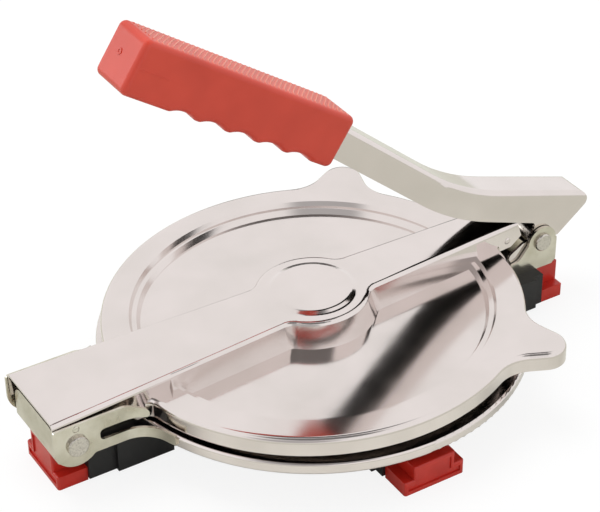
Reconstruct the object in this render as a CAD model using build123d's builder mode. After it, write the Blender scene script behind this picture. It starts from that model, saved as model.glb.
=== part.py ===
import math
import os

from build123d import *

# Puri press: a round base on a cross of legs, a hinged lid and a hand lever that presses it shut.
# Sizes are in mm with the press shut. x runs from the hinge to the lever pin, z is up from the floor.

plate_x = -3.5                  # axis of the round plates, so that the outline is centred on x = 0

# Sheet thicknesses and fits
lid_sheet = 1.0
pan_sheet = 1.0
press_sheet = 1.2
bracket_sheet = 1.2
lever_sheet = 1.2
press_gap = 0.3                 # between the two press plates when shut
skirt_gap = 0.35                # between lid skirt and pan rim when shut
run_fit = 0.05                  # radial clearance of a pin in a turning hole
side_gap = 0.4                  # beside each turning flange
pick_reach = 0.05               # how near its line an edge or corner lies to be picked

# Base pan and lid
lid_r = 88.0
pan_lip = 2.4                   # pan rim outside the lid skirt
pan_r = lid_r + pan_lip
pan_z = 17.5
pan_depth = 5.0
pan_rim_z = pan_z + pan_depth
pan_edge_r = 1.0
pan_ledge = 6.0                 # width of the turned-in edge on top of the pan rim
press_inset = 8.0               # press plates inside the lid skirt
press_r = lid_r - press_inset
press_edge_r = 2.0
lid_skirt_z = pan_rim_z + skirt_gap
lid_depth = 7.85
lid_rim_z = lid_skirt_z + lid_depth
lid_edge_r = 2.4

# Stepped wall of the lid recess
recess_depth = 4.2
recess_floor_z = lid_rim_z - recess_depth
rim_width = 12.0
recess_slope = 1.0              # upper slope of the wall, in plan
recess_ledge = 2.0
recess_foot = 1.4               # lower slope of the wall, in plan
recess_ledge_drop = 1.9
recess_outer_r = lid_r - rim_width
recess_ledge_outer_r = recess_outer_r - recess_slope
recess_ledge_inner_r = recess_ledge_outer_r - recess_ledge
recess_inner_r = recess_ledge_inner_r - recess_foot
lid_press_top_z = recess_floor_z - lid_sheet
lid_press_z = lid_press_top_z - press_sheet
press_top_z = lid_press_z - press_gap

# Thumb ears
ear_angle = 50.0
ear_out = 9.7                   # centre of the ear tip outside the lid skirt
ear_centre_r = lid_r + ear_out
ear_tip_r = 8.9
ear_flank = 23.0                # slope of the straight flanks from the line through the ear tip
ear_flank_in = 8.0              # inner end of the flanks inside the lid skirt
ear_base_r = lid_r - ear_flank_in
ear_root_r = 16.0

# Hinge pin, behind the lid
hinge_out = 31.7
hinge_rise = 3.1                # pin axis above the pan rim
hinge_x = -lid_r - hinge_out
hinge_z = pan_rim_z + hinge_rise
hinge_pin_r = 3.0
hinge_head_r = 4.5
hinge_head_rise = 1.6
hinge_head_edge_r = 0.6
hinge_spacer_wall = 0.8
hinge_spacer_r = hinge_pin_r + hinge_spacer_wall

# Rib across the lid, with boss, hinge arm and tongue
rib_rise = 6.8                  # rib top above the lid rim
rib_top_z = lid_rim_z + rib_rise
rib_half = 13.25                # half width of the rib top over the plate axis
rib_taper = 0.048               # loss of half width per mm towards the tongue
rib_draft = 16.0
rib_edge_r = 2.0
rib_run_x = recess_outer_r      # sloping walls end at the edge of the recess
rib_root = 0.5                  # depth of the rib block below the recess floor
flange_flare = 0.6              # flanges outside the rib top edge
flange_step = 0.2               # flanges outside the strip of the rim below them
boss_r = 23.6
boss_root_r = 4.0
disc_border = 4.8               # flat of the boss top round its raised disc
disc_r = boss_r - disc_border
disc_slope = 2.5                # sloping edge of the disc, in plan
disc_top_r = disc_r - disc_slope
disc_rise = 1.1
disc_edge_r = 3.0
arm_overhang = 8.8              # arm end behind the hinge pin
arm_end_x = hinge_x - arm_overhang
arm_root_r = 4.0
arm_flange_drop = 3.7           # lower edge of the arm flange below the lid rim
arm_flange_z = lid_rim_z - arm_flange_drop
arm_flange_root = 4.0
arm_flange_slope = 5.0
arm_flange_root_x = -lid_r - arm_flange_root
arm_flange_hook_x = arm_flange_root_x - arm_flange_slope
lid_lobe_wall = 3.6
lid_lobe_r = hinge_pin_r + lid_lobe_wall
tongue_out = 10.9               # end of the tongue top outside the lid skirt
tongue_top_x = lid_r + tongue_out
tongue_root_r = 3.0
tongue_nose_drop = 0.7
tongue_nose_z = lid_rim_z - tongue_nose_drop
tongue_low_out = 7.4
tongue_low_x = lid_r + tongue_low_out
tongue_low_drop = 4.3
tongue_low_z = lid_rim_z - tongue_low_drop
tongue_notch_out = 1.5
tongue_notch_x = lid_r + tongue_notch_out

# Hinge bracket
hinge_lobe_r = 9.8              # round end of the side plates about the pin
hinge_lobe_root_r = 2.0
hinge_branch_end = 2.0          # end of the upper branch outside the lid skirt
hinge_branch_x = -lid_r - hinge_branch_end
hinge_slot_start = 9.8
hinge_slot_x = hinge_x + hinge_slot_start
hinge_slot_rise = 3.2
hinge_slot_top_z = hinge_z + hinge_slot_rise
hinge_plate_drop = 2.2          # top of the side plates below the rib top
hinge_plate_top_z = rib_top_z - hinge_plate_drop
hinge_branch_rise = 1.1         # lower branch above the pan rim
hinge_branch_top_z = pan_rim_z + hinge_branch_rise
hinge_branch_lift = 1.5         # lower branch above the pan floor
hinge_branch_z = pan_z + hinge_branch_lift
hinge_branch_run = 9.0          # sloping end of the upper branch
hinge_branch_fall = 3.0
hinge_branch_bend_r = 6.0
hinge_corner_r = 1.5
hinge_slot_r = 2.0
hinge_root_r = 14.0
hinge_tail_angle = 3.0
hinge_tie_start = 0.8           # cross tie under the pin, measured from its axis
hinge_tie_end = 4.8
hinge_tie_start_x = hinge_x + hinge_tie_start
hinge_tie_end_x = hinge_x + hinge_tie_end
hinge_tail_half = 9.0           # half width of the floor strip under the pan
hinge_tab_back = 7.6
hinge_tab_x = hinge_x - hinge_tab_back
hinge_tab_drop = 5.3
hinge_tab_top_z = rib_top_z - hinge_tab_drop
hinge_tab_corner_r = 6.0
hinge_tab_bend_r = 2.0

# Lever pin and its bracket
lever_out = 23.8
lever_drop = 1.0                # pin axis below the lid rim
lever_x = lid_r + lever_out
lever_z = lid_rim_z - lever_drop
lever_pin_r = 2.5
lever_head_r = 4.2
lever_head_rise = 1.5
lever_head_edge_r = 0.9
lever_spacer_wall = 1.3
lever_spacer_r = lever_pin_r + lever_spacer_wall
lever_eye_wall = 4.8
lever_eye_r = lever_pin_r + lever_eye_wall
lever_plate_end = 7.9
lever_plate_cut = 2.1
lever_plate_start = 0.8
lever_plate_start_x = pan_r + lever_plate_start
lever_plate_start_drop = 0.4
lever_plate_start_z = pan_rim_z - lever_plate_start_drop
lever_plate_waist = 9.1
lever_plate_waist_x = pan_r + lever_plate_waist
lever_plate_waist_rise = 1.0
lever_plate_waist_z = pan_rim_z + lever_plate_waist_rise
lever_plate_waist_r = 5.0

# Bracket floors under the pan and their rivets
bracket_reach = 26.4            # bracket floors run this far in from the pan rim
bracket_tail_x = pan_r - bracket_reach
bracket_rivet_in = 5.0
bracket_rivet_x = bracket_tail_x + bracket_rivet_in
bracket_rivet_pitch = 7.0
leg_rivet_in = 31.4
leg_rivet_y = pan_r - leg_rivet_in
rivet_r = 1.6
rivet_lip = 1.2
rivet_head_r = rivet_r + rivet_lip
rivet_head_rise = 1.0

# Lever channel, pressed down, measured from the lever pin
jaw_gap = 0.3                   # between lever walls and tongue when pressed
lever_half = 8.75
lever_low = rib_top_z + jaw_gap - lever_z
lever_depth = 13.3
lever_kink_x = -54.9
lever_rise = 19.8
lever_bend_r = 115.0
lever_run = 73.0                # level distance from the kink to the grip
lever_grip_x = lever_kink_x - lever_run
lever_edge_r = 2.6
lever_web_up = 0.3              # least upward part of the normal on the channel web
lever_rear_top_x = 22.2
lever_rear_top_z = 24.0
lever_rear_low_x = 9.1
lever_rear_low_z = 3.0
lever_rear_r = 4.0
lever_hub_wall = 4.3
lever_hub_r = lever_pin_r + lever_hub_wall
lever_tang = 64.0
mouth_x = -6.2
mouth_r = 2.0
jaw_root_x = -9.4
jaw_root_z = -2.2
jaw_tip_x = -15.2
jaw_tip_z = -9.2
jaw_low_x = -10.4
jaw_low_z = -13.0
jaw_heel_x = -5.4
jaw_heel_z = -6.4
jaw_r = 2.4

# Grip, measured along its own centre line
grip_rise = 13.7
grip_length = 106.5
grip_half_width = 11.0
grip_half_height = 11.25
grip_sink = 0.55                # channel centre line below the grip centre line
grip_corner_r = 2.8
grip_edge_r = 2.4
grip_fit = 0.1
scallop_count = 5
scallop_pitch = 15.0
scallop_chord = 12.6
scallop_depth = 1.7
scallop_first = 16.5
scallop_blend_r = 3.0

# Legs and feet
leg_half = 15.4
leg_wall = 2.5
leg_z = 1.2
leg_roof = 2.5
leg_block_half = 17.4           # thicker part of each leg near its foot
leg_block_in = 14.0             # its inner end inside the pan rim, on the hinge and lever legs
hinge_block_out = 24.9          # its outer end inside the outer face of the foot
lever_block_out = 16.9
side_block_out = 18.4
side_block_in = 28.4            # its inner end inside the outer face of the front and rear feet
foot_hinge_back = 6.5           # outer face of the foot behind the hinge pin
foot_hinge_x = hinge_x - foot_hinge_back
foot_hinge_length = 13.0
foot_lever_back = 9.9
foot_lever_x = lever_x + foot_lever_back
foot_lever_length = 12.4
foot_side_in = 1.0
foot_side_y = pan_r - foot_side_in
foot_side_length = 13.8
foot_side_rise = 12.5           # top of the front and rear feet
foot_pad_half = 14.0
foot_pad_rise = 6.3
foot_riser_half = 9.6
foot_edge_r = 1.0
foot_panel_border = 1.8
foot_panel_depth = 0.6
spigot_half = 5.0
spigot_lift = 5.3               # spigot above the lower edge of the legs
spigot_z = leg_z + spigot_lift
spigot_rise = 4.5
spigot_length = 7.0
spigot_fit = 0.1
foot_screw_r = 1.5
foot_screw_in = 3.5             # screw axis inside the inner end of the foot
foot_screw_head_r = 3.0
foot_screw_head_rise = 1.8
foot_screw_pocket_fit = 0.5
foot_screw_pocket_r = foot_screw_head_r + foot_screw_pocket_fit
foot_screw_pocket = 3.0
foot_screw_length = 7.5

# Rest pose: lever raised from the pressed pose, and the lid raised with it
lever_rest_angle = 20.5
lid_rest_angle = 1.6

floor = Plane((plate_x, 0, 0))
side = Plane(origin=(plate_x, 0, 0), x_dir=(1, 0, 0), z_dir=(0, -1, 0))
across = Plane(origin=(plate_x, 0, 0), x_dir=(0, 1, 0), z_dir=(1, 0, 0))
plate_axis = Axis((plate_x, 0, 0), (0, 0, 1))
hinge_axis = Axis((plate_x + hinge_x, 0, hinge_z), (0, -1, 0))
lever_axis = Axis((plate_x + lever_x, 0, lever_z), (0, 1, 0))


def flange_half_at(x):
    return rib_half - rib_taper * x + flange_flare


def strip_at(x_from, x_to, grow):
    # Corners of the tapering strip in plan, widened on both sides by grow.
    half_from = flange_half_at(x_from) + grow
    half_to = flange_half_at(x_to) + grow
    return [(x_from, -half_from), (x_to, -half_to), (x_to, half_to), (x_from, half_from)]


def rounded(sketch, spots):
    for x, z, radius in spots:
        fillet(sketch.vertices().sort_by_distance((x, z))[0], radius)


bracket_z = pan_z - bracket_sheet
tongue_nose_x = tongue_top_x + rib_rise * math.tan(math.radians(rib_draft))
hinge_plate_in = flange_half_at(arm_end_x) + side_gap
hinge_plate_mid = hinge_plate_in + bracket_sheet / 2
hinge_plate_out = hinge_plate_in + bracket_sheet
hinge_strip_half = flange_half_at(hinge_x) - lid_sheet - side_gap
lever_plate_in = lever_half + side_gap
lever_plate_out = lever_plate_in + bracket_sheet
span = 2 * lid_r                # longer than any cut has to reach
hinge_rivet_spots = [(-bracket_rivet_x, 0), (-bracket_rivet_x - bracket_rivet_pitch, 0)]
lever_rivet_spots = [(bracket_rivet_x, 0), (bracket_rivet_x + bracket_rivet_pitch, 0)]
leg_rivet_spots = [(0, leg_rivet_y), (0, -leg_rivet_y)]
rivet_spots = hinge_rivet_spots + lever_rivet_spots + leg_rivet_spots

# Base pan: flat round floor with a low upright rim whose top edge is turned in.
with BuildPart() as base_pan:
    with BuildSketch(floor.offset(pan_z)):
        Circle(pan_r)
    extrude(amount=pan_depth)
    fillet(base_pan.faces().sort_by(Axis.Z)[0].edges(), pan_edge_r)
    fillet(base_pan.faces().sort_by(Axis.Z)[-1].edges(), pan_edge_r)
    with BuildSketch(floor.offset(pan_z + pan_sheet)):
        Circle(pan_r - pan_sheet)
    extrude(amount=pan_depth - 2 * pan_sheet, mode=Mode.SUBTRACT)
    with BuildSketch(floor.offset(pan_z + pan_sheet)):
        Circle(pan_r - pan_ledge)
    extrude(amount=pan_depth, mode=Mode.SUBTRACT)
    with BuildSketch(floor.offset(pan_z)):
        with Locations(*rivet_spots):
            Circle(rivet_r)
    extrude(amount=pan_sheet, mode=Mode.SUBTRACT)

# Base press plate: shallow inverted cup that stands on the pan floor.
press_wall = press_top_z - pan_z - pan_sheet
with BuildPart() as base_press_plate:
    with BuildSketch(floor.offset(pan_z + pan_sheet)):
        Circle(press_r)
    extrude(amount=press_wall)
    fillet(base_press_plate.faces().sort_by(Axis.Z)[-1].edges(), press_edge_r)
    with BuildSketch(floor.offset(pan_z + pan_sheet)):
        Circle(press_r - press_sheet)
    extrude(amount=press_wall - press_sheet, mode=Mode.SUBTRACT)

# Hinge bracket: side plates that curve out onto the pan rim, a floor strip tied to them under the pin
# and an upturned end tab.
root_reach = pan_r + bracket_sheet / 2 + hinge_root_r
root_turn = math.degrees(math.asin((hinge_plate_mid + hinge_root_r) / root_reach))
root_x = -root_reach * math.cos(math.radians(root_turn))
plate_left_x = hinge_x - hinge_lobe_r
lobe_z = hinge_z - hinge_lobe_r
lobe_root_x = hinge_x + math.sqrt(hinge_lobe_r ** 2 - (hinge_z - hinge_branch_z) ** 2)
with BuildPart() as hinge_bracket:
    with BuildSketch(floor.offset(lobe_z)):
        with BuildLine():
            straight = Line((plate_left_x, -hinge_plate_mid), (root_x, -hinge_plate_mid))
            bend = JernArc(straight @ 1, straight % 1, hinge_root_r, root_turn - 90)
            JernArc(bend @ 1, bend % 1, pan_r + bracket_sheet / 2, hinge_tail_angle)
        trace(line_width=bracket_sheet)
        mirror(about=Plane.XZ)
    extrude(amount=hinge_plate_top_z - lobe_z)
    with BuildSketch(side) as plate_side:
        with BuildLine():
            Polyline(
                (plate_left_x, hinge_z),
                (plate_left_x, hinge_plate_top_z),
                (hinge_branch_x - hinge_branch_run, hinge_plate_top_z),
                (hinge_branch_x, hinge_plate_top_z - hinge_branch_fall),
                (hinge_branch_x, hinge_slot_top_z),
                (hinge_slot_x, hinge_slot_top_z),
                (hinge_slot_x, hinge_branch_top_z),
                (0, hinge_branch_top_z),
                (0, hinge_branch_z),
                (hinge_x, hinge_branch_z),
                (hinge_x, hinge_z),
                close=True,
            )
        make_face()
        with Locations((hinge_x, hinge_z)):
            Circle(hinge_lobe_r)
        rounded(plate_side, [
            (plate_left_x, hinge_plate_top_z, hinge_corner_r),
            (hinge_branch_x - hinge_branch_run, hinge_plate_top_z, hinge_branch_bend_r),
            (hinge_branch_x, hinge_plate_top_z - hinge_branch_fall, hinge_corner_r),
            (hinge_branch_x, hinge_slot_top_z, hinge_corner_r),
            (hinge_slot_x, hinge_slot_top_z, hinge_slot_r),
            (hinge_slot_x, hinge_branch_top_z, hinge_slot_r),
            (lobe_root_x, hinge_branch_z, hinge_lobe_root_r),
        ])
    extrude(amount=span, both=True, mode=Mode.INTERSECT)
    with BuildSketch(floor.offset(bracket_z)) as floor_plan:
        with BuildLine():
            Polyline(
                (hinge_tab_x, -hinge_strip_half),
                (hinge_tie_start_x, -hinge_strip_half),
                (hinge_tie_start_x, -hinge_plate_mid),
                (hinge_tie_end_x, -hinge_plate_mid),
                (hinge_tie_end_x, -hinge_tail_half),
                (-bracket_tail_x, -hinge_tail_half),
                (-bracket_tail_x, hinge_tail_half),
                (hinge_tie_end_x, hinge_tail_half),
                (hinge_tie_end_x, hinge_plate_mid),
                (hinge_tie_start_x, hinge_plate_mid),
                (hinge_tie_start_x, hinge_strip_half),
                (hinge_tab_x, hinge_strip_half),
                close=True,
            )
        make_face()
        with Locations(*hinge_rivet_spots):
            Circle(rivet_r, mode=Mode.SUBTRACT)
    extrude(amount=bracket_sheet)
    with BuildSketch(across.offset(hinge_tab_x)) as tab_face:
        with Locations((0, bracket_z)):
            Rectangle(2 * hinge_strip_half, hinge_tab_top_z - bracket_z, align=(Align.CENTER, Align.MIN))
        fillet(tab_face.vertices().sort_by(Axis.Y)[-2:], hinge_tab_corner_r)
    extrude(amount=bracket_sheet)
    tab_foot = (plate_x + hinge_tab_x, 0, bracket_z)
    tab_bend = hinge_bracket.edges().filter_by(Axis.Y).sort_by_distance(tab_foot)[0]
    fillet(tab_bend, hinge_tab_bend_r)
    with BuildSketch(side):
        with Locations((hinge_x, hinge_z)):
            Circle(hinge_pin_r)
    extrude(amount=span, both=True, mode=Mode.SUBTRACT)

# Lever bracket: two round-topped plates on a floor that runs under the pan.
plate_end_x = lever_x + lever_plate_end
with BuildPart() as lever_bracket:
    for plane in (side.offset(lever_plate_in), side.offset(-lever_plate_out)):
        with BuildSketch(plane) as plate_face:
            with BuildLine():
                Polyline(
                    (lever_x - lever_eye_r, lever_z),
                    (lever_plate_waist_x, lever_plate_waist_z),
                    (lever_plate_start_x, lever_plate_start_z),
                    (lever_plate_start_x, bracket_z),
                    (plate_end_x - lever_plate_cut, bracket_z),
                    (plate_end_x, bracket_z + lever_plate_cut),
                    (plate_end_x, lever_z),
                    (lever_x + lever_eye_r, lever_z),
                    close=True,
                )
            make_face()
            with Locations((lever_x, lever_z)):
                Circle(lever_eye_r)
            rounded(plate_face, [(lever_plate_waist_x, lever_plate_waist_z, lever_plate_waist_r)])
            with Locations((lever_x, lever_z)):
                Circle(lever_pin_r, mode=Mode.SUBTRACT)
        extrude(amount=bracket_sheet)
    with BuildSketch(floor.offset(bracket_z)):
        with Locations((bracket_tail_x, 0)):
            Rectangle(
                plate_end_x - lever_plate_cut - bracket_tail_x,
                2 * lever_plate_in,
                align=(Align.MIN, Align.CENTER),
            )
        with Locations((lever_plate_start_x, 0)):
            Rectangle(
                plate_end_x - lever_plate_cut - lever_plate_start_x,
                2 * lever_plate_out,
                align=(Align.MIN, Align.CENTER),
            )
        with Locations(*lever_rivet_spots):
            Circle(rivet_r, mode=Mode.SUBTRACT)
    extrude(amount=bracket_sheet)

# Leg frame: cross of two hollow bars, open below, with a spigot for a foot at each end.
hinge_bar_x = foot_hinge_x + foot_hinge_length
lever_bar_x = foot_lever_x - foot_lever_length
side_bar_y = foot_side_y - foot_side_length
block_in_x = pan_r - leg_block_in
hinge_block_out_x = foot_hinge_x + hinge_block_out
lever_block_out_x = foot_lever_x - lever_block_out
block_mid_y = foot_side_y - (side_block_in + side_block_out) / 2
bar_mid_x = (hinge_bar_x + lever_bar_x) / 2
bar_length = lever_bar_x - hinge_bar_x
spigot_spots = [
    (hinge_bar_x - spigot_length / 2, 0, 0),
    (lever_bar_x + spigot_length / 2, 0, 0),
    (0, side_bar_y + spigot_length / 2, 90),
    (0, -side_bar_y - spigot_length / 2, 90),
]
foot_screw_spots = [
    (hinge_bar_x - foot_screw_in, 0),
    (lever_bar_x + foot_screw_in, 0),
    (0, side_bar_y + foot_screw_in),
    (0, -side_bar_y - foot_screw_in),
]
with BuildPart() as leg_frame:
    with BuildSketch(floor.offset(leg_z)):
        with Locations((bar_mid_x, 0)):
            Rectangle(bar_length, 2 * leg_half)
        Rectangle(2 * leg_half, 2 * side_bar_y)
        for x_from, x_to in ((hinge_block_out_x, -block_in_x), (block_in_x, lever_block_out_x)):
            with Locations(((x_from + x_to) / 2, 0)):
                Rectangle(x_to - x_from, 2 * leg_block_half)
        with Locations((0, block_mid_y), (0, -block_mid_y)):
            Rectangle(2 * leg_block_half, side_block_in - side_block_out)
    extrude(amount=pan_z - leg_z)
    with BuildSketch(floor.offset(bracket_z)):
        with Locations((-bracket_tail_x, 0)):
            Rectangle(span, 2 * leg_block_half, align=(Align.MAX, Align.CENTER))
        with Locations((bracket_tail_x, 0)):
            Rectangle(span, 2 * leg_block_half, align=(Align.MIN, Align.CENTER))
    extrude(amount=bracket_sheet, mode=Mode.SUBTRACT)
    with BuildSketch(floor.offset(leg_z)):
        with Locations((bar_mid_x, 0)):
            Rectangle(bar_length - 2 * leg_wall, 2 * (leg_half - leg_wall))
        Rectangle(2 * (leg_half - leg_wall), 2 * (side_bar_y - leg_wall))
    extrude(amount=bracket_z - leg_roof - leg_z, mode=Mode.SUBTRACT)
    with BuildSketch(floor.offset(spigot_z)):
        for x, y, turn in spigot_spots:
            with Locations(Location((x, y), turn)):
                Rectangle(spigot_length, 2 * spigot_half)
    extrude(amount=spigot_rise)
    with BuildSketch(floor.offset(leg_z)):
        with Locations(*rivet_spots):
            Circle(rivet_r)
    extrude(amount=pan_z - leg_z, mode=Mode.SUBTRACT)
    with BuildSketch(floor.offset(spigot_z)):
        with Locations(*foot_screw_spots):
            Circle(foot_screw_r)
    extrude(amount=foot_screw_pocket + foot_screw_length - spigot_z, mode=Mode.SUBTRACT)


def build_foot(end, outward, length, top_z):
    # One foot: upside-down T that slips over a spigot, with a sunk panel in its outer face.
    face = Plane(
        origin=(plate_x + end[0], end[1], 0),
        x_dir=(-outward[1], outward[0], 0),
        z_dir=(outward[0], outward[1], 0),
    )
    with BuildPart() as foot:
        with BuildSketch(face):
            with Locations((0, 0)):
                Rectangle(2 * foot_pad_half, foot_pad_rise, align=(Align.CENTER, Align.MIN))
                Rectangle(2 * foot_riser_half, top_z, align=(Align.CENTER, Align.MIN))
        extrude(amount=-length)
        outer_face = foot.faces().sort_by(Axis(face.origin, face.z_dir))[-1]
        fillet(outer_face.edges().filter_by(lambda e: e.center().Z > foot_edge_r), foot_edge_r)
        with BuildSketch(face):
            with Locations((0, foot_panel_border)):
                Rectangle(
                    2 * (foot_pad_half - foot_panel_border),
                    foot_pad_rise - 2 * foot_panel_border,
                    align=(Align.CENTER, Align.MIN),
                )
                Rectangle(
                    2 * (foot_riser_half - foot_panel_border),
                    top_z - 2 * foot_panel_border,
                    align=(Align.CENTER, Align.MIN),
                )
        extrude(amount=-foot_panel_depth, mode=Mode.SUBTRACT)
        with BuildSketch(face.offset(-length)):
            with Locations((0, spigot_z - spigot_fit)):
                Rectangle(
                    2 * (spigot_half + spigot_fit),
                    spigot_rise + 2 * spigot_fit,
                    align=(Align.CENTER, Align.MIN),
                )
        extrude(amount=spigot_length + spigot_fit, mode=Mode.SUBTRACT)
        screw_x = end[0] - outward[0] * (length - foot_screw_in)
        screw_y = end[1] - outward[1] * (length - foot_screw_in)
        with BuildSketch(floor):
            with Locations((screw_x, screw_y)):
                Circle(foot_screw_pocket_r)
        extrude(amount=foot_screw_pocket, mode=Mode.SUBTRACT)
        with BuildSketch(floor):
            with Locations((screw_x, screw_y)):
                Circle(foot_screw_r)
        extrude(amount=spigot_z, mode=Mode.SUBTRACT)
    return foot


foot_hinge_end = build_foot((foot_hinge_x, 0), (-1, 0), foot_hinge_length, bracket_z)
foot_lever_end = build_foot((foot_lever_x, 0), (1, 0), foot_lever_length, bracket_z)
foot_front = build_foot((0, -foot_side_y), (0, -1), foot_side_length, foot_side_rise)
foot_rear = build_foot((0, foot_side_y), (0, 1), foot_side_length, foot_side_rise)

# Foot screws: one up through each foot into its spigot.
with BuildPart() as foot_screws:
    with BuildSketch(floor.offset(foot_screw_pocket - foot_screw_head_rise)):
        with Locations(*foot_screw_spots):
            Circle(foot_screw_head_r)
    extrude(amount=foot_screw_head_rise)
    with BuildSketch(floor.offset(foot_screw_pocket)):
        with Locations(*foot_screw_spots):
            Circle(foot_screw_r)
    extrude(amount=foot_screw_length)


def build_rivets(spots, roof_z):
    # Rivets through pan, bracket floor and bar roof, headed at both ends.
    top_z = pan_z + pan_sheet
    with BuildPart() as rivets:
        with BuildSketch(floor.offset(roof_z)):
            with Locations(*spots):
                Circle(rivet_r)
        extrude(amount=top_z - roof_z)
        with BuildSketch(floor.offset(top_z)):
            with Locations(*spots):
                Circle(rivet_head_r)
        extrude(amount=rivet_head_rise)
        with BuildSketch(floor.offset(roof_z)):
            with Locations(*spots):
                Circle(rivet_head_r)
        extrude(amount=-rivet_head_rise)
    return rivets


hinge_bracket_rivets = build_rivets(hinge_rivet_spots, bracket_z - leg_roof)
lever_bracket_rivets = build_rivets(lever_rivet_spots, bracket_z - leg_roof)
leg_rivets = build_rivets(leg_rivet_spots, bracket_z - leg_roof)


def build_pin(x, z, radius, half_length, head_r, head_rise, head_edge_r):
    # Cross pin with a rounded head at each end.
    with BuildPart() as pin:
        with BuildSketch(side):
            with Locations((x, z)):
                Circle(radius)
        extrude(amount=half_length, both=True)
        for reach, rise in ((half_length, head_rise), (-half_length, -head_rise)):
            with BuildSketch(side.offset(reach)):
                with Locations((x, z)):
                    Circle(head_r)
            extrude(amount=rise)
        fillet(pin.faces().sort_by(Axis.Y)[0].edges(), head_edge_r)
        fillet(pin.faces().sort_by(Axis.Y)[-1].edges(), head_edge_r)
    return pin


def build_spacer(x, z, inner_r, outer_r, half_length):
    # Tube on a pin, between the two flanges that turn on it.
    with BuildPart() as spacer:
        with BuildSketch(side):
            with Locations((x, z)):
                Circle(outer_r)
                Circle(inner_r, mode=Mode.SUBTRACT)
        extrude(amount=half_length, both=True)
    return spacer


hinge_pin = build_pin(
    hinge_x, hinge_z, hinge_pin_r, hinge_plate_out, hinge_head_r, hinge_head_rise, hinge_head_edge_r
)
lever_pin = build_pin(
    lever_x, lever_z, lever_pin_r, lever_plate_out, lever_head_r, lever_head_rise, lever_head_edge_r
)
hinge_spacer = build_spacer(hinge_x, hinge_z, hinge_pin_r, hinge_spacer_r, hinge_strip_half)
lever_spacer = build_spacer(
    lever_x, lever_z, lever_pin_r, lever_spacer_r, lever_half - lever_sheet - side_gap
)


def build_rim(inset, bottom_z, arm_x):
    # Lid rim, ears and the lower part of arm and tongue, with the stepped recess sunk in its top.
    rim_r = lid_r - inset
    with BuildPart() as rim:
        with BuildSketch(floor.offset(bottom_z)) as plan:
            Circle(rim_r)
            tip_r = ear_tip_r - inset
            flank = math.radians(ear_flank)
            flank_x = ear_centre_r + tip_r * math.sin(flank)
            flank_half = tip_r * math.cos(flank)
            base_half = flank_half + (flank_x - ear_base_r) * math.tan(flank)
            for turn in (ear_angle, -ear_angle):
                with Locations(Location((0, 0), turn)):
                    Polygon(
                        (ear_base_r, -base_half),
                        (flank_x, -flank_half),
                        (flank_x, flank_half),
                        (ear_base_r, base_half),
                        align=None,
                    )
                with Locations(Location((0, 0), turn) * Location((ear_centre_r, 0))):
                    Circle(tip_r)
            on_rim = plan.vertices().filter_by(lambda v: abs(math.hypot(v.X, v.Y) - rim_r) < pick_reach)
            fillet(on_rim.filter_by(lambda v: abs(v.Y) > 2 * rib_half), ear_root_r + inset)
            Polygon(*strip_at(arm_x, tongue_nose_x - inset, -inset - flange_step), align=None)
            on_rim = plan.vertices().filter_by(lambda v: abs(math.hypot(v.X, v.Y) - rim_r) < pick_reach)
            near_strip = on_rim.filter_by(lambda v: abs(v.Y) < 2 * rib_half)
            arm_corners = near_strip.filter_by(lambda v: v.X < 0)
            fillet(arm_corners, arm_root_r + inset)
            on_rim = plan.vertices().filter_by(lambda v: abs(math.hypot(v.X, v.Y) - rim_r) < pick_reach)
            tongue_corners = on_rim.filter_by(lambda v: abs(v.Y) < 2 * rib_half and v.X > 0)
            fillet(tongue_corners, tongue_root_r + inset)
        extrude(amount=lid_rim_z - inset - bottom_z)
        fillet(rim.faces().sort_by(Axis.Z)[-1].edges(), lid_edge_r - inset)
        with BuildSketch(side):
            with BuildLine():
                Polyline(
                    (0, rib_top_z),
                    (recess_outer_r + inset, rib_top_z),
                    (recess_outer_r + inset, lid_rim_z - inset),
                    (recess_ledge_outer_r + inset, lid_rim_z - recess_ledge_drop - inset),
                    (recess_ledge_inner_r + inset, lid_rim_z - recess_ledge_drop - inset),
                    (recess_inner_r + inset, recess_floor_z - inset),
                    (0, recess_floor_z - inset),
                    close=True,
                )
            make_face()
        revolve(axis=plate_axis, mode=Mode.SUBTRACT)
    return rim


def build_rib(inset, arm_x):
    # Rib and boss with sloping walls, cut to upright flanges on arm and tongue, and a disc raised on the boss.
    top_z = rib_top_z - inset
    low_z = recess_floor_z - inset - rib_root
    spread = (top_z - low_z) * math.tan(math.radians(rib_draft))
    with BuildPart() as rib:
        for z, out in ((low_z, spread - inset), (top_z, -inset)):
            with BuildSketch(floor.offset(z)) as plan:
                Polygon(*strip_at(arm_x - 2 * spread, tongue_top_x + out, out - flange_flare), align=None)
                Circle(boss_r + out)
                boss_corners = plan.vertices().filter_by(lambda v: abs(v.X) < 2 * boss_r)
                fillet(boss_corners, boss_root_r + spread - out)
        loft(ruled=True)
        fillet(rib.faces().sort_by(Axis.Z)[-1].edges(), rib_edge_r - inset)
        with BuildSketch(floor.offset(low_z)):
            Rectangle(2 * (rib_run_x - 2 * inset), span)
            Polygon(*strip_at(arm_x, tongue_nose_x + spread, -inset), align=None)
        extrude(amount=top_z - low_z, mode=Mode.INTERSECT)
        with BuildSketch(side) as disc_side:
            with BuildLine():
                Polyline(
                    (0, recess_floor_z),
                    (disc_r, recess_floor_z),
                    (disc_r, top_z),
                    (disc_top_r, top_z + disc_rise),
                    (0, top_z + disc_rise),
                    close=True,
                )
            make_face()
            rounded(disc_side, [(disc_top_r, top_z + disc_rise, disc_edge_r)])
        revolve(axis=plate_axis)
        foot = rib.edges().filter_by(lambda e: abs(e.length - 2 * math.pi * disc_r) < pick_reach)
        fillet(foot, disc_edge_r)
    return rib


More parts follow.
